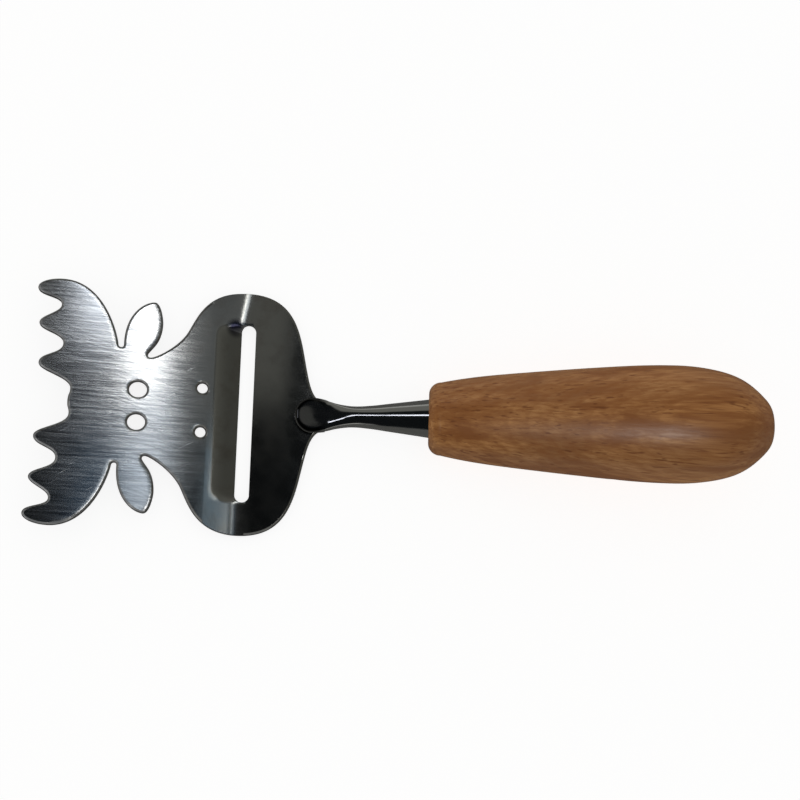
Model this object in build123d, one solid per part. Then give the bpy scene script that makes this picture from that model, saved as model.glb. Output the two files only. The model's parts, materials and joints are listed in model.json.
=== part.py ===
from build123d import *
import math
import os

# Cheese plane: a pressed steel blade cut to the outline of a moose head, a
# forged steel shank welded on top of it, and a turned beech handle.
# Millimetres. X runs from the antlers to the butt of the handle, Y across, Z up.
# X is measured from the crease of the blade while the pieces are made, and Z
# from the top of the toe, the level part of the blade behind the slot.
# The finished tool lies on its lip and on the belly of its handle, with the
# middle of its footprint at the origin.

# blade
sheet = 1.6
frontRise = 7.0
creaseRadius = 8.0
edgeRound = 0.7
sheetEnds = (-70.0, 40.0)

# cutting lip and slot
lipBendX = -7.2
lipTurn = 16.3
lipBendRadius = 2.5
lipHalf = 24.4
lipRamp = 3.2
slotFront = 0.3
slotBack = 4.7
slotHalf = 28.0
slotMiddle = 2.5
lipLand = 0.35
bevelRun = 2.2

# face of the moose
eyeAt = (-30.6, 5.05)
eyeSize = (5.4, 4.9)
nostrilAt = (-11.1, 6.9)
nostrilDiameter = 3.2

# shank
padX = 23.3
padRadius = 5.5
padHeight = 2.7
dishDepth = 0.3
dishRadius = 22.0
tongueEnd = 27.4
axisPitch = 8.0
axisX = 35.2
axisZ = 1.4
waistRadius = 3.3
shoulderRadius = 6.0
tangRadius = 3.0
tangLength = 55.0

# handle
faceAlong = 24.2
recessRadius = 6.25
recessDepth = 3.0
boreRadius = 3.1
boreDepth = 60.0
frontRadius = 11.5
faceRound = 3.8
handleRadius = 18.5
handleFlat = 0.74
handleLength = 107.0

# moose outline, one side of the middle line, from the brow between the antlers
# to the root of the shank: x, y, heading in degrees, and how far the curve leans
# on that heading before and after the point
outline = [
    (-51.3, 0.0, 90, 0, 2.5), (-50.7, 3.8, 90, 1.9, 3.8),
    # three tines of an antler, nose and notch in turn
    (-60.5, 11.2, 90, 2.8, 3.2), (-53.65, 17.6, 90, 3.4, 3.3),
    (-61.1, 23.65, 90, 2.7, 2.3), (-54.9, 29.75, 90, 2.6, 2.7),
    (-62.2, 34.65, 90, 2.9, 1.7), (-54.6, 37.85, 0, 4.3, 11.0),
    # notch, ear, notch
    (-37.4, 19.5, -77.6, 5.7, 0.4), (-36.4, 17.9, 0, 1.0, 1.0), (-35.65, 19.5, 90, 0.3, 9.8),
    (-27.0, 32.85, 0, 2.6, 2.0), (-24.15, 26.3, -90, 1.4, 7.1),
    (-28.25, 15.95, -90, 1.8, 0.3),
    # cheek, muzzle and the back edge behind the slot
    (-27.2, 15.3, 5.7, 0.8, 1.5), (-16.2, 24.6, 63.4, 5.8, 5.7), (1.8, 38.2, 0, 12.6, 16.9),
    (21.55, 12.5, -76, 11.1, 1.1), (25.3, 5.0, -30.5, 2.9, 0),
]


def slope(angle):
    return math.cos(math.radians(angle)), math.sin(math.radians(angle))


def halfOutline():
    edges = []
    for (x, y, turn, _, lean), (x2, y2, turn2, lean2, _) in zip(outline, outline[1:]):
        a, b = slope(turn), slope(turn2)
        edges.append(Bezier((x, y), (x + lean * a[0], y + lean * a[1]),
                            (x2 - lean2 * b[0], y2 - lean2 * b[1]), (x2, y2)))
    return edges


def blankFace():
    # the tongue under the pad closes the outline behind
    half = halfOutline()
    half.append(Polyline([outline[-1][:2], (tongueEnd, 4.7), (tongueEnd, 0)]))
    far = [mirror(edge, about=Plane.XZ) for edge in half]
    return make_face([*half, *far])


def bendPoints(corner, before, after, topRadius, drop):
    # tangent points and middle of the arc that rounds a corner of the sheet's
    # side view, on the top face or, with a drop, on the face below it
    middle = slope((before + after) / 2)
    half = math.radians(abs(after - before) / 2)
    x = corner[0] + drop * middle[1] / math.cos(half)
    z = corner[1] - drop * middle[0] / math.cos(half)
    if abs(after - before) < 0.01:
        reach, sag = 0.5, 0
    else:
        radius = topRadius + drop if after > before else topRadius - drop
        reach, sag = radius * math.tan(half), radius * (1 / math.cos(half) - 1)
    side = 1 if after > before else -1
    a, b = slope(before), slope(after)
    return ((x - reach * a[0], z - reach * a[1]),
            (x - side * sag * middle[1], z + side * sag * middle[0]),
            (x + reach * b[0], z + reach * b[1]))


def sheetSide(startX, endX, press, y):
    # side view of the sheet through the lip bend and the crease: press 0 is the
    # plain sheet, and press 1 has the full lip, which runs on straight
    front = -frontRise
    lip = front - lipTurn * press
    rear = lip + frontRise * (1 - press)
    atLip = (lipBendX, lipBendX * math.tan(math.radians(front)))
    atCrease = (0, atLip[1] - lipBendX * math.tan(math.radians(lip)))
    start = (startX, startX * math.tan(math.radians(front)))
    end = (endX, atCrease[1] + endX * math.tan(math.radians(rear)))
    rows = []
    for drop in (0, sheet):
        a, b = slope(front), slope(rear)
        rows.append([
            (start[0] + drop * a[1], start[1] - drop * a[0]),
            *bendPoints(atLip, front, lip, lipBendRadius + sheet, drop),
            *bendPoints(atCrease, lip, rear, creaseRadius, drop),
            (end[0] + drop * b[1], end[1] - drop * b[0])])
    edges = []
    for points in rows:
        place = [Vector(x, y, z) for x, z in points]
        edges += [Line(place[0], place[1]), bendEdge(*place[1:4]), Line(place[3], place[4]),
                  bendEdge(*place[4:7]), Line(place[6], place[7])]
    for i in (0, 7):
        edges.append(Line(Vector(rows[0][i][0], y, rows[0][i][1]),
                          Vector(rows[1][i][0], y, rows[1][i][1])))
    return make_face(edges)


def bendEdge(a, middle, b):
    if ((a + b) * 0.5 - middle).length < 1e-6:
        return Line(a, b)
    return ThreePointArc(a, middle, b)


def plainSheet():
    face = sheetSide(*sheetEnds, 0, -45)
    return extrude(face, amount=90, dir=(0, 1, 0))


def lipZone():
    # the pressed lip, let into the plain sheet, with its two ends faired in
    start = lipBendX - 5
    lip = extrude(sheetSide(start, slotMiddle, 1, -lipHalf), amount=2 * lipHalf, dir=(0, 1, 0))
    pieces = [lip]
    for side in (1, -1):
        faces = []
        for step in (0, 0.12, 0.3, 0.5, 0.7, 0.88, 1):
            press = 1 - step * step * (3 - 2 * step)
            faces.append(sheetSide(start, slotMiddle, press, side * (lipHalf + lipRamp * step)))
        pieces.append(loft(faces))
    return pieces


def bladeSheet():
    length = lipHalf + lipRamp
    window = Pos((lipBendX - 5 + slotMiddle) / 2, 0, 0) * Box(
        slotMiddle - lipBendX + 5, 2 * length, 20)
    body = plainSheet() - window
    for piece in lipZone():
        body = body + piece
    return body


def slotCutter():
    face = Pos(slotMiddle, 0, -10) * Rot(0, 0, 90) * SlotOverall(
        2 * slotHalf, slotBack - slotFront)
    return extrude(face, amount=20)


def bevelCutter():
    # the grind under the cutting edge, along the straight part of the lip
    lip = -frontRise - lipTurn
    z = lipBendX * math.tan(math.radians(-frontRise)) + (
        slotFront - lipBendX) * math.tan(math.radians(lip))
    along = slope(lip)
    edge = (slotFront, z - lipLand)
    heel = (edge[0] - bevelRun * along[0] - (sheet - lipLand) * 0.36,
            edge[1] - bevelRun * along[1] - (sheet - lipLand) * 0.93 - 0.15)
    face = make_face(Polyline([(edge[0] + 1, 0, edge[1] + 0.5), (edge[0], 0, edge[1]),
                               (heel[0], 0, heel[1]), (heel[0], 0, heel[1] - 3),
                               (edge[0] + 1, 0, heel[1] - 3)], close=True))
    reach = lipHalf + lipRamp
    return Pos(0, -reach, 0) * extrude(face, amount=2 * reach, dir=(0, 1, 0))


def faceHoles():
    tools = []
    for side in (1, -1):
        eye = Pos(eyeAt[0], side * eyeAt[1], -10) * Ellipse(eyeSize[0] / 2, eyeSize[1] / 2)
        tools.append(extrude(eye, amount=30))
        tools.append(Pos(nostrilAt[0], side * nostrilAt[1], 0) * Cylinder(
            nostrilDiameter / 2, 20))
    return tools


def upperRims(body):
    # the upper edge of each wall round the outline and the holes; the step that
    # the slot takes away and the tongue under the pad stay square
    rims = []
    for wall in body.faces():
        x, y = wall.center().X, wall.center().Y
        square = abs(x - slotMiddle) < 3 and abs(y) < slotHalf or x > outline[-1][0]
        if square or abs(wall.normal_at().Z) > 0.05:
            continue
        level = [edge for edge in wall.edges() if abs(edge.tangent_at(0.5).Z) < 0.7]
        rims.append(max(level, key=lambda edge: edge.center().Z))
    return rims


def blade():
    blank = extrude(Pos(0, 0, -10) * blankFace(), amount=30)
    body = bladeSheet() & blank
    for tool in faceHoles():
        body = body - tool
    body = fillet(upperRims(body), edgeRound)
    return body - slotCutter() - bevelCutter()


def shaftPlane(along):
    # plane square to the axis that the shank and the handle share
    run = slope(axisPitch)
    return Plane(origin=(axisX + along * run[0], 0, axisZ + along * run[1]),
                 x_dir=(0, 1, 0), z_dir=(run[0], 0, run[1]))


def alongAxis(edges):
    # body turned about the shared axis from its half outline, drawn as
    # distance along the axis and radius
    turned = revolve(make_face(edges), axis=Axis.X)
    return shaftPlane(0) * Rot(0, -90, 0) * Rot(-90, 0, 0) * turned


def shankBody():
    head = padX - axisX
    waist = (0.6, waistRadius)
    end = faceAlong + recessDepth
    return alongAxis([
        ThreePointArc((head - padRadius, 0), (head - padRadius * 0.707, padRadius * 0.707),
                      (head, padRadius)),
        Spline([(head, padRadius), (-8.3, 4.95), (-5.0, 4.02), waist],
               tangents=[(1, 0), (1, 0)]),
        Spline([waist, (6.0, 3.62), (12.0, 4.4), (faceAlong, shoulderRadius)],
               tangents=[(1, 0), (1, 0.15)]),
        Polyline([(faceAlong, shoulderRadius), (end, shoulderRadius), (end, 0),
                  (head - padRadius, 0)])])


def hammeredSide():
    # side view of the flattened end: flat on the toe, and a long hollow that
    # carries the top of the pad up to the round shaft
    low, high = -12.0, 30.0
    top = [(padX - 9, padHeight), (padX + 1.5, padHeight)]
    hollow = Spline([top[1], (padX + 7.0, padHeight + 0.75), (padX + 13.0, padHeight + 2.9)],
                    tangents=[(1, 0), (1, 0.42)])
    rest = Polyline([hollow @ 1, (padX + 16, high), (130, high), (130, low), (44, low),
                     (padX + 13, -1.6), (tongueEnd, -1.3), (tongueEnd, 0), (padX - 9, 0),
                     top[0], top[1]])
    face = make_face([hollow, rest])
    return extrude(Plane.XZ * face, amount=20, both=True)


def shank():
    # flattened end, neck, tapered round shaft and tang, all on one axis
    body = shankBody() & hammeredSide()
    dish = Pos(padX - 1.0, 0, padHeight + dishRadius - dishDepth) * Sphere(dishRadius)
    tang = shaftPlane(faceAlong + recessDepth) * Pos(0, 0, tangLength / 2) * Cylinder(
        tangRadius, tangLength)
    tang = chamfer(tang.edges().group_by(Axis.X)[-1], 0.8)
    return (body - dish) + tang


def handleBody():
    # turned beech, flattened to an oval, with a rounded front and a domed butt
    side = (faceRound, frontRadius)
    edges = [
        Polyline([(handleLength, 0), (0, 0), (0, frontRadius - faceRound)]),
        ThreePointArc((0, frontRadius - faceRound),
                      (faceRound * 0.293, frontRadius - faceRound * 0.293), side),
        Spline([side, (14, 13.35), (29, 15.1), (44, 16.55), (59, 17.8), (76, handleRadius)],
               tangents=[(1, 0.22), (1, 0)]),
        Spline([(76, handleRadius), (88.2, 17.4), (98, 13.95), (104, 8.9), (handleLength, 0)],
               tangents=[(1, 0), (0, -1)])]
    turned = revolve(make_face(edges), axis=Axis.X)
    return scale(turned, by=(1, 1, handleFlat))


def handle():
    wood = shaftPlane(faceAlong) * Rot(0, -90, 0) * Rot(-90, 0, 0) * handleBody()
    recess = shaftPlane(faceAlong) * Pos(0, 0, recessDepth / 2) * Cylinder(
        recessRadius, recessDepth)
    bore = shaftPlane(faceAlong) * Pos(0, 0, boreDepth / 2) * Cylinder(boreRadius, boreDepth)
    return wood - recess - bore


def onTable(pieces):
    boxes = [piece.bounding_box() for piece in pieces.values()]
    low, high = min(b.min.X for b in boxes), max(b.max.X for b in boxes)
    shift = Pos(-(low + high) / 2, 0, -min(b.min.Z for b in boxes))
    print("shift", shift.position)
    return {name: shift * piece for name, piece in pieces.items()}


os.makedirs("parts", exist_ok=True)
pieces = {"blade": blade(), "shank": shank(), "handle": handle()}
for name, piece in pieces.items():
    box = piece.bounding_box()
    print(name, len(piece.solids()), round(piece.volume), "low", round(box.min.Z, 3),
          "x", round(box.min.X, 2), round(box.max.X, 2))
for name, piece in onTable(pieces).items():
    export_step(piece, f"parts/{name}.step")
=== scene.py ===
import json
import math
import bpy
from mathutils import Matrix, Vector

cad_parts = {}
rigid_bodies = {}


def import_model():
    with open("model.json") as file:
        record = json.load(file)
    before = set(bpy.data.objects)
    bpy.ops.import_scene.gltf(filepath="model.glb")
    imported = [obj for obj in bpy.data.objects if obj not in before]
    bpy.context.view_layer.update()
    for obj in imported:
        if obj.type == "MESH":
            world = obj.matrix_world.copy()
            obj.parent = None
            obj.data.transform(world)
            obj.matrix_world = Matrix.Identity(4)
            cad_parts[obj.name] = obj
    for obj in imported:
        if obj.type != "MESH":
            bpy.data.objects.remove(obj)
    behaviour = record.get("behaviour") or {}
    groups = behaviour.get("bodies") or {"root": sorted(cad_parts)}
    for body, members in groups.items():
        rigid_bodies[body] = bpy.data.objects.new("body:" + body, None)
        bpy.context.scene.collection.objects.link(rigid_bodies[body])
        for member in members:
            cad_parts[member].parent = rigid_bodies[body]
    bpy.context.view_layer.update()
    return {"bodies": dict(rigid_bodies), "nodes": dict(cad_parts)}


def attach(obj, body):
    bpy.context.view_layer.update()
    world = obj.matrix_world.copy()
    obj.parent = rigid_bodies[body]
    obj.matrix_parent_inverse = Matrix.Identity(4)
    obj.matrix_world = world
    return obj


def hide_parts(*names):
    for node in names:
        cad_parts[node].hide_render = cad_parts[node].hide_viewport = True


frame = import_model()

scene = bpy.context.scene
scene.view_settings.view_transform = "Standard"
body = next(iter(frame["bodies"]))
blade, handle = (frame["nodes"][name] for name in ("blade", "handle"))


# a socket of a node tree, so that sums can be written as sums
class Wire:
    def __init__(self, tree, socket):
        self.tree, self.socket = tree, socket

    def __add__(self, other):
        return calc(self.tree, "ADD", self, other)

    def __sub__(self, other):
        return calc(self.tree, "SUBTRACT", self, other)

    def __rsub__(self, other):
        return calc(self.tree, "SUBTRACT", other, self)

    def __mul__(self, other):
        return calc(self.tree, "MULTIPLY", self, other)

    def __truediv__(self, other):
        return calc(self.tree, "DIVIDE", self, other)

    def __pow__(self, other):
        return calc(self.tree, "POWER", self, other)

    __radd__, __rmul__ = __add__, __mul__


def feed(tree, slot, value):
    if isinstance(value, Wire):
        tree.links.new(value.socket, slot)
    elif value is not None:
        slot.default_value = value


def calc(tree, operation, *values, clamp=False):
    node = tree.nodes.new("ShaderNodeMath")
    node.operation, node.use_clamp = operation, clamp
    for slot, value in zip(node.inputs, values):
        feed(tree, slot, value)
    return Wire(tree, node.outputs[0])


def addNode(tree, kind, settings=None, **values):
    # a node with its settings and inputs, seen through its first output
    node = tree.nodes.new(kind)
    for name, value in (settings or {}).items():
        setattr(node, name, value)
    for name, value in values.items():
        feed(tree, node.inputs[name.replace("_", " ")], value)
    return Wire(tree, node.outputs[0])


def split(tree, vector):
    node = tree.nodes.new("ShaderNodeSeparateXYZ")
    feed(tree, node.inputs[0], vector)
    return [Wire(tree, out) for out in node.outputs]


def distance(tree, one, two):
    return calc(tree, "SQRT", one * one + two * two)


def ramp(tree, value, low, high, outLow=0.0, outHigh=1.0, soft=False):
    return addNode(tree, "ShaderNodeMapRange", {"interpolation_type": "SMOOTHSTEP" if soft else "LINEAR"},
                   Value=value, From_Min=low, From_Max=high, To_Min=outLow, To_Max=outHigh)


# material helpers
def newMaterial(name):
    material = bpy.data.materials.new(name)
    material.use_nodes = True
    tree = material.node_tree
    coords = Wire(tree, tree.nodes.new("ShaderNodeTexCoord").outputs["Object"])
    return material, tree, tree.nodes["Principled BSDF"], coords


def grainNoise(tree, coords, scale, detail=3.0, roughness=0.5, turn=0.0, place=(0, 0, 0), bend=0.0):
    if turn:
        coords = addNode(tree, "ShaderNodeMapping", Vector=coords, Rotation=(0, 0, turn))
    mapped = addNode(tree, "ShaderNodeMapping", Vector=coords, Location=place, Scale=scale)
    return addNode(tree, "ShaderNodeTexNoise", Vector=mapped, Scale=1.0, Detail=detail,
                   Roughness=roughness, Distortion=bend)


def grains(tree, coords, look, *names):
    return [grainNoise(tree, coords, **look[name]) for name in names]


# the mixing node's two inputs and its result, for colours and for directions
mixSockets = {"RGBA": (6, 7, 2), "VECTOR": (4, 5, 1)}


def mixed(tree, share, one, two, kind="RGBA"):
    first, second, result = mixSockets[kind]
    node = tree.nodes.new("ShaderNodeMix")
    node.data_type = kind
    for slot, value in ((0, share), (first, one), (second, two)):
        feed(tree, node.inputs[slot], value)
    return Wire(tree, node.outputs[result])


def relief(tree, shader, heights, normal=None):
    for height, (strength, depth) in heights:
        normal = addNode(tree, "ShaderNodeBump", Strength=strength, Distance=depth,
                         Height=height, Normal=normal)
    feed(tree, shader.inputs["Normal"], normal)


def setShader(tree, shader, **values):
    for name, value in values.items():
        feed(tree, shader.inputs[name.replace("_", " ")], value)


def dress(piece, material):
    for slot in piece.material_slots:
        slot.material = material
    if not piece.material_slots:
        piece.data.materials.append(material)


# sheet steel of the blade: brushed along the tool in front, smooth behind the lip
sheetSteel = {
    "bright": (0.72, 0.72, 0.71, 1),
    "streak": (0.36, 0.37, 0.38, 1),
    "rear": (0.36, 0.36, 0.335, 1),
    "smudge": (0.26, 0.24, 0.21, 1),
    "scratch": (0.85, 0.85, 0.85, 1),
    # painted shade on the rims and cut edge, partly the sheared edge's own dull tone
    "dullEdgeAndShade": (0.22, 0.22, 0.215, 1),
    # painted dark reflection: a dark spot in the colour at the lip's upper corner
    "paintedDarkReflection": (0.02, 0.02, 0.035, 1),
    "lines": {"scale": (45, 1500, 300), "detail": 4.0, "roughness": 0.55},
    "fine": {"scale": (110, 4200, 300), "detail": 2.0},
    "slanted": {"scale": (60, 1700, 300), "roughness": 0.6, "turn": 0.28},
    "patches": {"scale": (60, 120, 60), "roughness": 0.55},
    "clouds": {"scale": (130, 130, 130), "detail": 4.0, "roughness": 0.6, "place": (2, 5, 1)},
    "scratches": {"scale": (110, 2600, 300), "detail": 1.0, "turn": -0.5},
    "scratchedSpots": {"scale": (150, 150, 150), "detail": 1.0, "place": (7, 3, 2)},
    # parts of lines, slanted and fine in the dull colour, and of the first two in the relief
    "dullParts": (0.55, 0.25, 0.2),
    "heightParts": (0.7, 0.3),
    "patchPart": 0.5,
    # where a pattern or a place starts and is full, and for some the values there
    "brushFade": (-0.0575, -0.076),
    "dullRange": (0.40, 0.62),
    "smudgeRange": (0.5, 0.72, 0, 0.7),
    "scratchRange": (0.69, 0.74),
    "spotRange": (0.56, 0.62),
    "roughRange": (0.35, 0.65),
    "edgeShadeRange": (0.90, 0.60),
    "frontRoughness": (0.10, 0.15),
    "rearRoughness": (0.075, 0.115),
    "scratchRoughness": 0.15,
    "anisotropy": 0.65,
    "lineRelief": (0.07, 0.0002),
    "fineRelief": (0.02, 0.00005),
    "rearRelief": 0.02,
    "darkReflectionAt": (-0.0533, 0.0270),
    "darkReflectionSize": (0.0036, 0.0012),
    # rims that face the handle, rolled over by the press
    "rollRadius": 0.0022,
    "rollSamples": 8,
    "rollAlong": (-0.0615, -0.064),
    "rollStart": (0.0, 0.03),
    "rollFull": (0.42, 0.66),
    "rollAcross": (0.0, -0.012),
    "rollShare": (0.16, 0.34),
    # slopes of the pressed zone: bend of the lip, its two ends, and the crease
    "lipStart": -0.0572,
    "lipEnd": (0.0288, 0.0235),
    "lipSoftness": 0.0033,
    "lipTilt": 0.274,
    "toeTilt": 0.122,
    "upright": 0.96,
    "creaseAt": -0.0513,
    "creaseSoftness": 0.0025,
    "creaseDrift": 0.16,
    "driftFrom": 0.028,
    "creaseHaze": 0.06,
    "hazeRange": (0.007, 0.001),
    "endInside": (0.0230, 0.0258),
    "endOutside": (0.0290, 0.0262),
    "endAlong": (-0.0572, -0.0523),
    "endTilt": 0.40,
    "zoneBorder": 0.0003,
    "zoneTop": (0.45, 0.60),
}


def rolledNormal(tree, x, y, plain):
    look = sheetSteel
    rim = addNode(tree, "ShaderNodeBevel", {"samples": look["rollSamples"]}, Radius=look["rollRadius"])
    turned = split(tree, rim)[0] - split(tree, plain)[0]
    gentle = ramp(tree, y, *look["rollAcross"], *look["rollShare"])
    share = (ramp(tree, turned, *look["rollStart"])
             * ramp(tree, turned, *look["rollFull"], gentle, 1.0, soft=True)
             * ramp(tree, x, *look["rollAlong"]))
    return mixed(tree, share, plain, rim, "VECTOR")


def pressedNormal(tree, x, y, upward, normal):
    # eases the bends of the pressed zone, and gives the haze of the crease too
    look = sheetSteel
    out, soft, start = calc(tree, "ABSOLUTE", y), look["lipSoftness"], look["lipStart"]
    onLip = ramp(tree, out, *look["lipEnd"], soft=True)
    lip = ramp(tree, x, start - soft, start + soft, soft=True) * onLip
    drift = calc(tree, "MAXIMUM", y - look["driftFrom"], 0.0) * look["creaseDrift"]
    fromCrease = x - (look["creaseAt"] + drift)
    bend = look["creaseSoftness"]
    crease = ramp(tree, fromCrease, -bend, bend, soft=True) * (1.0 - onLip)
    tiltX = (1.0 - crease) * look["toeTilt"] + lip * look["lipTilt"]
    atEnd = (ramp(tree, out, *look["endInside"], soft=True) * ramp(tree, out, *look["endOutside"], soft=True)
             * ramp(tree, x, *look["endAlong"], soft=True))
    tiltY = atEnd * calc(tree, "SIGN", y) * -look["endTilt"]
    slope = addNode(tree, "ShaderNodeCombineXYZ", X=tiltX, Y=tiltY, Z=look["upright"])
    eased = addNode(tree, "ShaderNodeVectorMath", {"operation": "NORMALIZE"}, Vector=slope)
    border = look["zoneBorder"]
    zone = (ramp(tree, x, start - soft - border, start - soft)
            * ramp(tree, fromCrease, soft + border, soft) * ramp(tree, upward, *look["zoneTop"]))
    near = ramp(tree, calc(tree, "ABSOLUTE", fromCrease), *look["hazeRange"], soft=True)
    return mixed(tree, zone, normal, eased, "VECTOR"), near * (1.0 - onLip) * look["creaseHaze"]


def brushedSteel():
    material, tree, shader, coords = newMaterial("brushed_steel")
    look = sheetSteel
    x, y, _ = split(tree, coords)
    front = ramp(tree, x, *look["brushFade"], soft=True)
    lines, fine, slanted, patches, clouds, scratches, spots = grains(
        tree, coords, look, "lines", "fine", "slanted", "patches", "clouds", "scratches", "scratchedSpots")
    plain = Wire(tree, tree.nodes.new("ShaderNodeNewGeometry").outputs["Normal"])
    upward = split(tree, plain)[2]
    normal, haze = pressedNormal(tree, x, y, upward, rolledNormal(tree, x, y, plain))
    # colour: dull lines in the brushed part, smudges on the smooth one, a painted dark reflection
    # in the upper corner of the lip, and painted shade on the rims and cut edge of the sheet, partly the
    # sheared edge's own dull tone
    linePart, slantedPart, finePart = look["dullParts"]
    dullAndShade = ramp(tree, lines * linePart + slanted * slantedPart + fine * finePart, *look["dullRange"])
    brushed = mixed(tree, dullAndShade, look["streak"], look["bright"])
    smooth = mixed(tree, ramp(tree, clouds, *look["smudgeRange"]), look["rear"], look["smudge"])
    scratched = ramp(tree, scratches, *look["scratchRange"]) * ramp(tree, spots, *look["spotRange"]) * front
    colour = mixed(tree, scratched, mixed(tree, front, smooth, brushed), look["scratch"])
    # painted dark reflection, a dark spot in the colour near the lip's upper end
    apart = distance(tree, x - look["darkReflectionAt"][0], y - look["darkReflectionAt"][1])
    colour = mixed(tree, ramp(tree, apart, *look["darkReflectionSize"], soft=True), colour, look["paintedDarkReflection"])
    # painted shade where the surface turns away from upward, on rims and the cut edge, partly the sheared
    # edge's dull tone
    colour = mixed(tree, ramp(tree, upward, *look["edgeShadeRange"]), colour, look["dullEdgeAndShade"])
    worn = patches * look["patchPart"] + lines * (1 - look["patchPart"])
    roughFront = ramp(tree, worn, *look["roughRange"], *look["frontRoughness"])
    roughRear = ramp(tree, clouds, *look["roughRange"], *look["rearRoughness"])
    rough = roughRear + (roughFront - roughRear) * front + scratched * look["scratchRoughness"] + haze
    setShader(tree, shader, Metallic=1.0, Anisotropic=look["anisotropy"], Base_Color=colour,
              Roughness=rough, Tangent=addNode(tree, "ShaderNodeCombineXYZ", Y=1.0))
    linePart, slantedPart = look["heightParts"]
    height = (lines * linePart + slanted * slantedPart) * (front * (1 - look["rearRelief"])
                                                           + look["rearRelief"])
    relief(tree, shader, [(height, look["lineRelief"]), (fine * front, look["fineRelief"])], normal)
    return material


# forged and polished shank, made from section sizes along its path
forgedShank = {
    "start": -0.03374,
    "length": 0.0443,
    "padRadius": 0.0055,
    "rings": 150,
    "sides": 64,
    # distance from the pad's end: half width, top, underside, squareness of the section
    "sections": [
        (0.0000, 0.00550, 0.00588, 0.00318, 4.5),
        (0.0055, 0.00550, 0.00588, 0.00318, 4.5),
        (0.0092, 0.00495, 0.00602, 0.00318, 3.8),
        (0.0105, 0.00458, 0.00620, 0.00200, 3.5),
        (0.0125, 0.00402, 0.00662, 0.00180, 3.0),
        (0.0155, 0.00350, 0.00735, 0.00165, 2.4),
        (0.0180, 0.00330, 0.00790, 0.00160, 2.1),
        (0.0233, 0.00362, 0.00905, 0.00179, 2.0),
        (0.0293, 0.00440, 0.01065, 0.00185, 2.0),
        (0.0354, 0.00520, 0.01232, 0.00190, 2.0),
        (0.0414, 0.00600, 0.01398, 0.00196, 2.0),
        (0.0443, 0.00642, 0.01482, 0.00199, 2.0),
    ],
    # distance from the pad's end, and how far the top leans to one side
    "leanAlong": [(0.0, 0.0), (0.004, 0.02), (0.009, 0.10), (0.013, 0.16), (0.019, 0.0), (0.0443, 0.0)],
    # largest size, squareness and lean that their curves can reach
    "largest": (0.016, 5.0, 1.0),
    "endCurve": (14.0, 0.35),
    "dishDepth": 0.00001,
    "dishRise": (0.0005, 0.003),
    "dishFall": (0.012, 0.006),
    "seamGap": 0.00001,
    "tangRadius": 0.003,
    "tangLength": 0.052,
    "tangSides": 48,
    "tangOverlap": 0.0006,
    "tangHeight": 0.00838,
    "pitch": 8.0,
    "colour": (0.58, 0.58, 0.565, 1),
    # painted shade: a dark ring round the pad's end and a dark band where the shank enters the wood
    "paintedShade": (0.07, 0.07, 0.068, 1),
    "rimShadeRing": (0.0040, 0.0045),
    "rimShadeEnd": (-0.0235, -0.0265),
    "entryShade": (0.0072, 0.0080),
    "haze": {"scale": (150, 500, 500)},
    "marks": {"scale": (260, 2600, 2600), "detail": 2.0},
    "roughParts": (0.6, 0.4),
    "roughRange": (0.35, 0.65),
    "roughness": (0.075, 0.12),
    "markRelief": (0.02, 0.00005),
}

# what the node group asks for, by its names in the dictionary
shankSockets = (("start", "Float"), ("length", "Float"), ("padRadius", "Float"),
                ("dishDepth", "Float"), ("rings", "Int"), ("sides", "Int"))


def sizeCurve(tree, along, points, largest):
    length = forgedShank["length"]
    node = tree.nodes.new("ShaderNodeFloatCurve")
    feed(tree, node.inputs["Value"], along / length)
    curve = node.mapping.curves[0]
    while len(curve.points) < len(points):
        curve.points.new(0.5, 0.5)
    for point, (place, size) in zip(curve.points, points):
        point.location = (place / length, size / largest)
    for end in (curve.points[0], curve.points[-1]):
        end.handle_type = "VECTOR"
    node.mapping.update()
    return Wire(tree, node.outputs[0]) * largest


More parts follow.
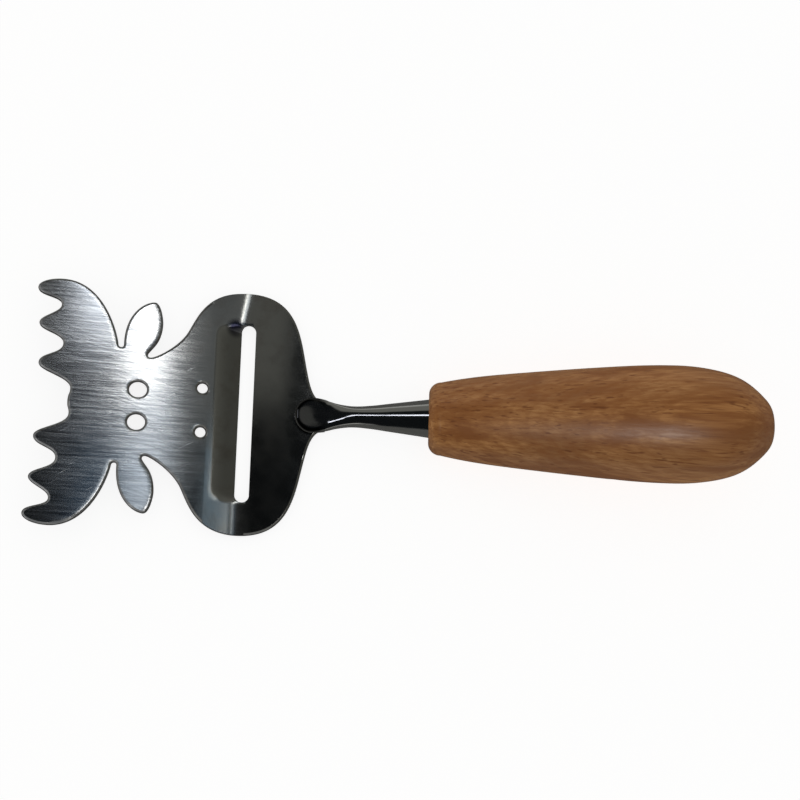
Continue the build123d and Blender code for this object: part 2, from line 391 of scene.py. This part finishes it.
def shankForm(tree, start, length, radius, dish, rings, sides):
    # a grid of rings and sides, rolled up round the path with the section's sizes
    look = forgedShank
    grid = addNode(tree, "GeometryNodeMeshGrid", Size_X=1.0, Size_Y=1.0, Vertices_X=rings, Vertices_Y=sides)
    gridX, gridY, _ = split(tree, addNode(tree, "GeometryNodeInputPosition"))
    share, turn = gridX + 0.5, (gridY + 0.5) * (2 * math.pi)
    along = share * share * length
    largestSize, largestSquareness, largestLean = look["largest"]
    width, top, under, square = (
        sizeCurve(tree, along, [(row[0], row[column]) for row in look["sections"]], largest)
        for column, largest in ((1, largestSize), (2, largestSize), (3, largestSize), (4, largestSquareness)))
    lean = sizeCurve(tree, along, look["leanAlong"], largestLean)
    # the pad's round end narrows the section and pulls it in
    inset = calc(tree, "MAXIMUM", radius - along, 0.0) / radius
    roundEnd = radius * calc(tree, "SQRT", 1.0 - inset * inset, clamp=True)
    width = calc(tree, "MINIMUM", width, roundEnd + calc(tree, "MAXIMUM", along - radius, 0.0))
    steepness, fullness = look["endCurve"]
    closing = calc(tree, "SUBTRACT", 1.0, inset ** steepness, clamp=True) ** fullness
    half, middle = (top - under) * 0.5 * closing, (top + under) * 0.5
    cosine, sine = calc(tree, "COSINE", turn), calc(tree, "SINE", turn)
    power = calc(tree, "DIVIDE", 2.0, square)
    sideways = width * calc(tree, "SIGN", cosine) * (calc(tree, "ABSOLUTE", cosine) ** power)
    lift = half * calc(tree, "SIGN", sine) * (calc(tree, "ABSOLUTE", sine) ** power)
    # the upper side leans, and is dished over the pad
    upper = calc(tree, "MAXIMUM", sine, 0.0)
    bowl = ramp(tree, along, *look["dishRise"], soft=True) * ramp(tree, along, *look["dishFall"], soft=True)
    inner = calc(tree, "SUBTRACT", 1.0, (sideways / width) ** 2.0, clamp=True)
    lift = lift - upper * lean * sideways - upper * bowl * inner * dish
    place = addNode(tree, "ShaderNodeCombineXYZ", X=start + along, Y=sideways, Z=middle + lift)
    moved = addNode(tree, "GeometryNodeSetPosition", Geometry=grid, Position=place)
    closed = addNode(tree, "GeometryNodeMergeByDistance", Geometry=moved, Distance=look["seamGap"])
    return addNode(tree, "GeometryNodeFlipFaces", Mesh=closed)


def tangForm(tree):
    look = forgedShank
    tang = addNode(tree, "GeometryNodeMeshCylinder", Vertices=look["tangSides"],
                   Radius=look["tangRadius"], Depth=look["tangLength"])
    pitch = math.radians(look["pitch"])
    reach = look["tangLength"] / 2 - look["tangOverlap"]
    end = Vector((look["start"] + look["length"], 0, look["tangHeight"]))
    return addNode(tree, "GeometryNodeTransform", Geometry=tang, Rotation=(0, math.pi / 2 - pitch, 0),
                   Translation=end + reach * Vector((math.cos(pitch), 0, math.sin(pitch))))


def shankTree(material):
    tree = bpy.data.node_groups.new("forgedShank", "GeometryNodeTree")
    tree.is_modifier = True
    tree.interface.new_socket("Geometry", in_out="OUTPUT", socket_type="NodeSocketGeometry")
    named = {}
    for name, kind in shankSockets:
        socket = tree.interface.new_socket(name, in_out="INPUT", socket_type="NodeSocket" + kind)
        named[name] = socket.identifier
    source = tree.nodes.new("NodeGroupInput")
    form = shankForm(tree, *(Wire(tree, out) for out in source.outputs[:len(shankSockets)]))
    joined = tree.nodes.new("GeometryNodeJoinGeometry")
    for part in (tangForm(tree), form):
        feed(tree, joined.inputs[0], part)
    whole = addNode(tree, "GeometryNodeRealizeInstances", Geometry=Wire(tree, joined.outputs[0]))
    painted = addNode(tree, "GeometryNodeSetMaterial", Geometry=whole, Material=material)
    smooth = addNode(tree, "GeometryNodeSetShadeSmooth", Geometry=painted)
    feed(tree, tree.nodes.new("NodeGroupOutput").inputs[0], smooth)
    return tree, named


def polishedSteel():
    material, tree, shader, coords = newMaterial("polished_steel")
    look = forgedShank
    x, y, _ = split(tree, coords)
    # painted shade round the pad's end, and painted shade where the shank enters the wood
    fromPad = x - (look["start"] + look["padRadius"])
    ring = (ramp(tree, distance(tree, fromPad, y), *look["rimShadeRing"]) * ramp(tree, x, *look["rimShadeEnd"]))
    dullAndShade = calc(tree, "MAXIMUM", ring, ramp(tree, x, *look["entryShade"]))
    haze, marks = grains(tree, coords, look, "haze", "marks")
    hazePart, markPart = look["roughParts"]
    rough = ramp(tree, haze * hazePart + marks * markPart, *look["roughRange"], *look["roughness"])
    setShader(tree, shader, Metallic=1.0, Base_Color=mixed(tree, dullAndShade, look["colour"], look["paintedShade"]),
              Roughness=rough)
    relief(tree, shader, [(marks, look["markRelief"])])
    return material


def makeShank():
    tree, named = shankTree(polishedSteel())
    form = bpy.data.objects.new("shankForm", bpy.data.meshes.new("shankForm"))
    scene.collection.objects.link(form)
    modifier = form.modifiers.new("forged", "NODES")
    modifier.node_group = tree
    for name, identifier in named.items():
        modifier[identifier] = forgedShank[name]
    depsgraph = bpy.context.evaluated_depsgraph_get()
    made = bpy.data.meshes.new_from_object(form.evaluated_get(depsgraph))
    form.modifiers.clear()
    piece = bpy.data.objects.new("polishedShank", made)
    scene.collection.objects.link(piece)
    bpy.data.objects.remove(form)
    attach(piece, body)
    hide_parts("shank")
    print("shank", len(made.vertices), "points", len(made.polygons), "faces")
    return piece


# oiled beech of the handle
beech = {
    "pale": (0.50, 0.235, 0.078, 1),
    "warm": (0.26, 0.092, 0.022, 1),
    "fleck": (0.15, 0.045, 0.011, 1),
    "grey": (0.33, 0.18, 0.085, 1),
    "pith": (0.030, -0.16),
    "pithTilt": 0.10,
    "ringWidth": 0.0019,
    "ringRise": (0.1, 0.85),
    "ringFall": (0.86, 1.0, 1, 0),
    "ringShare": 0.28,
    "sway": {"scale": (9, 45, 45)},
    "swayReach": 0.004,
    "bands": {"scale": (14, 190, 190), "detail": 4.0, "roughness": 0.6, "bend": 0.4},
    "wide": {"scale": (18, 60, 60), "detail": 2.0, "place": (4, 2, 9)},
    "grain": {"scale": (70, 1300, 1300), "detail": 4.0, "roughness": 0.6},
    "flecks": {"scale": (95, 1500, 1500), "detail": 1.0, "roughness": 0.4, "bend": 0.3},
    "many": {"scale": (30, 110, 110), "detail": 2.0, "place": (3, 1, 2)},
    # where a pattern starts and is full, and for some the values there
    "bandRange": (0.40, 0.60),
    "wideRange": (0.42, 0.68, 0, 0.35),
    "grainRange": (0.40, 0.64, 0, 0.7),
    "fleckLimit": (0.35, 0.65, 0.68, 0.58),
    "fleckContrast": 8.0,
    "fleckShare": 0.7,
    "roughRange": (0.3, 0.7),
    "roughness": (0.32, 0.42),
    "specular": 0.4,
    "oilCoat": 0.1,
    "coatRoughness": 0.3,
    "grainRelief": (0.2, 0.0002),
    "fleckRelief": (-0.25, 0.0001),
}


def beechWood():
    material, tree, shader, coords = newMaterial("beech")
    look = beech
    x, y, z = split(tree, coords)
    sway, bands, wide, grain, flecks, many = grains(
        tree, coords, look, "sway", "bands", "wide", "grain", "flecks", "many")
    # growth rings: distance from a pith line far under the handle, so that the
    # domed top cuts them in long ovals
    side, up = y - look["pith"][0], z + x * look["pithTilt"] - look["pith"][1]
    away = distance(tree, side, up) + sway * look["swayReach"]
    saw = calc(tree, "FRACT", away / look["ringWidth"])
    rings = ramp(tree, saw, *look["ringRise"], soft=True) * ramp(tree, saw, *look["ringFall"], soft=True)
    base = mixed(tree, ramp(tree, bands, *look["bandRange"]), look["pale"], look["warm"])
    base = mixed(tree, ramp(tree, wide, *look["wideRange"]), base, look["grey"])
    base = mixed(tree, rings * look["ringShare"], base, look["warm"])
    base = mixed(tree, ramp(tree, grain, *look["grainRange"]), base, look["warm"])
    limit = ramp(tree, many, *look["fleckLimit"])
    marks = calc(tree, "MULTIPLY", flecks - limit, look["fleckContrast"], clamp=True)
    setShader(tree, shader, Base_Color=mixed(tree, marks * look["fleckShare"], base, look["fleck"]),
              Roughness=ramp(tree, grain, *look["roughRange"], *look["roughness"]),
              Specular_IOR_Level=look["specular"], Coat_Weight=look["oilCoat"],
              Coat_Roughness=look["coatRoughness"])
    relief(tree, shader, [(grain, look["grainRelief"]), (marks, look["fleckRelief"])])
    return material


dress(blade, brushedSteel())
print("blade dressed")
shankPiece = makeShank()
dress(handle, beechWood())
print("handle dressed")


# floor and room
studio = {
    "floorSize": 80.0,
    "floorColour": (0.55, 0.55, 0.55, 1),
    "floorRoughness": 0.9,
    "floorSpecular": 0.1,
    "floorGlow": 0.86,
    "floorMirrored": (0.10, 0.10, 0.095, 1),
    "skyLight": (0.23, 0.23, 0.226, 1),
    "wallGrey": (0.17, 0.17, 0.157, 1),
    "wallAhead": (0.105, 0.105, 0.096, 1),
    "wallFoot": (0.42, 0.42, 0.405, 1),
    "roofDark": (0.006, 0.007, 0.008, 1),
    # the wall's upper border, where it begins and ends, and how it leans across
    # the tool, on the far side and on the near side
    "wallTop": (0.54, 0.66),
    "topLean": (0.15, 0.55),
    "aheadRange": (0.3, 0.7),
    "footRange": (0.27, 0.12),
    "darkNear": (0.3, 0.5),
    "darkBack": (-0.1, -0.25),
}


def mirroredApart(tree, output, seen, mirrored):
    # steel mirrors a darker room than the one that lights the wood
    choose = tree.nodes.new("ShaderNodeMixShader")
    isMirrored = Wire(tree, tree.nodes.new("ShaderNodeLightPath").outputs["Is Glossy Ray"])
    for slot, value in zip(choose.inputs, (isMirrored, seen, mirrored)):
        feed(tree, slot, value)
    feed(tree, output, Wire(tree, choose.outputs[0]))


def makeFloor():
    look = studio
    bpy.ops.mesh.primitive_plane_add(size=look["floorSize"], location=(0, 0, 0))
    floor = bpy.context.active_object
    floor.name = "floor"
    material, tree, shader, _ = newMaterial("floor_paper")
    setShader(tree, shader, Base_Color=look["floorColour"], Roughness=look["floorRoughness"],
              Specular_IOR_Level=look["floorSpecular"], Emission_Color=(1, 1, 1, 1),
              Emission_Strength=look["floorGlow"])
    mirroredApart(tree, tree.nodes["Material Output"].inputs["Surface"], Wire(tree, shader.outputs[0]),
                  addNode(tree, "ShaderNodeEmission", Color=look["floorMirrored"]))
    dress(floor, material)


def makeWorld():
    look = studio
    world = scene.world or bpy.data.worlds.new("studio")
    scene.world = world
    world.use_nodes = True
    tree = world.node_tree
    plain = tree.nodes["Background"]
    plain.inputs[0].default_value = look["skyLight"]
    x, y, z = split(tree, Wire(tree, tree.nodes.new("ShaderNodeTexCoord").outputs["Generated"]))
    ahead, near = calc(tree, "MAXIMUM", x, 0.0), calc(tree, "MAXIMUM", 0.0 - y, 0.0)
    farLean, nearLean = look["topLean"]
    height = z - y * farLean - ahead + near * nearLean
    wall = mixed(tree, ramp(tree, ahead, *look["aheadRange"]), look["wallGrey"], look["wallAhead"])
    room = mixed(tree, ramp(tree, height, *look["wallTop"], soft=True), wall, look["roofDark"])
    darkSide = ramp(tree, near, *look["darkNear"]) * ramp(tree, x, *look["darkBack"])
    foot = ramp(tree, z, *look["footRange"], soft=True) * (1.0 - darkSide)
    room = mixed(tree, foot, room, look["wallFoot"])
    mirroredApart(tree, tree.nodes["World Output"].inputs["Surface"], Wire(tree, plain.outputs[0]),
                  addNode(tree, "ShaderNodeBackground", Color=room))


# lamps by the piece they light: name, place, aimed at, size, power, colour
lamps = (
    (blade, [
        ("bladePanel", (0.066, 0.345, 0.95), (-0.09, 0.02, 0), (0.05, 0.18), 0.071, (0.94, 1, 1.09)),
        ("bladeStrip", (0.106, 0.28, 0.95), (-0.078, 0, 0), (0.030, 0.15), 0.077, (1, 1, 1)),
        ("lowStrip", (0.110, 0.11, 0.95), (-0.078, 0, 0), (0.034, 0.18), 0.022, (0.90, 1, 1.11)),
        ("coolFill", (0.075, 0.08, 0.95), (-0.09, -0.02, 0), (0.06, 0.16), 0.0020, (0.35, 0.9, 1.6)),
        ("neckPanel", (0.180, 0.24, 0.95), (-0.07, 0, 0), (0.10, 0.15), 0.008, (0.95, 1, 1.05)),
        ("cheekPanel", (0.225, 0.08, 0.95), (-0.07, 0, 0), (0.11, 0.15), 0.017, (0.74, 1, 1.26)),
        ("rimStrip", (0.27, -0.042, 0.95), (-0.078, 0, 0), (0.10, 0.236), 0.24, (1, 1, 1)),
        ("rearGlow", (-0.04, 0.31, 0.95), (-0.04, 0, 0), (0.09, 0.24), 0.0103, (1, 1, 0.94)),
        ("nearPanel", (-0.10, -0.48, 0.95), (-0.05, 0, 0), (1.4, 0.9), 1.0, (1, 1, 1)),
        ("sidePanel", (-0.55, 0.25, 0.95), (-0.05, 0, 0), (0.9, 0.7), 0.5, (1, 1, 1)),
        ("uprightPanel", (-0.3, -2.6, 0.9), (-0.05, 0, 0), (5.0, 2.0), 9.0, (1, 1, 1)),
        ("cornerPanel", (-2.5, -1.3, 1.2), (-0.05, 0, 0), (4.0, 2.6), 10.0, (1, 1, 1))]),
    (shankPiece, [
        ("shankBox", (-0.37, 0.19, 0.95), (0.02, 0, 0), (0.14, 0.12), 0.12, (0.90, 0.93, 1.05)),
        ("padGlow", (0.02, 0.15, 0.95), (-0.03, 0, 0), (0.22, 0.20), 0.0060, (1, 1, 0.93))]),
    (handle, [
        ("woodSoft", (-0.45, 0.85, 0.85), (0.06, 0, 0.01), (0.6, 0.5), 4.6, (1, 0.98, 0.95)),
        ("woodSheen", (0.07, -0.26, 0.95), (0.08, 0, 0.02), (0.06, 0.12), 1.7, (1, 0.98, 0.95))]),
)


def areaLight(name, place, target, size, power, colour):
    data = bpy.data.lights.new(name, "AREA")
    data.shape = "RECTANGLE"
    data.size, data.size_y = size
    data.energy, data.color = power, colour
    light = bpy.data.objects.new(name, data)
    scene.collection.objects.link(light)
    back = (Vector(place) - Vector(target)).normalized()
    up = back.cross(Vector((1, 0, 0))).normalized()
    turn = Matrix((up.cross(back), up, back)).transposed()
    light.matrix_world = Matrix.Translation(place) @ turn.to_4x4()
    return light


def makeLights():
    for piece, rows in lamps:
        for name, *settings in rows:
            lamp = areaLight(name, *settings)
            lit = bpy.data.collections.new("litBy" + name)
            lit.objects.link(piece)
            lamp.light_linking.receiver_collection = lit
            # the wood's soft lamp leaves no sharp glint
            lamp.visible_glossy = name != "woodSoft"


# camera: where the photograph was taken from
view = {
    "place": (-0.05618, -0.08652, 0.46263),
    "turn": (11.178, -7.154, 1.487),
    "lens": 67.5,
    "sensor": 36.0,
    "clip": (0.01, 20.0),
}


def makeCamera():
    data = bpy.data.cameras.new("camera")
    data.lens, data.sensor_width = view["lens"], view["sensor"]
    data.clip_start, data.clip_end = view["clip"]
    camera = bpy.data.objects.new("camera", data)
    camera.location = view["place"]
    camera.rotation_euler = [math.radians(angle) for angle in view["turn"]]
    scene.collection.objects.link(camera)
    scene.camera = camera


makeFloor()
makeWorld()
makeLights()
makeCamera()
print("stage done")
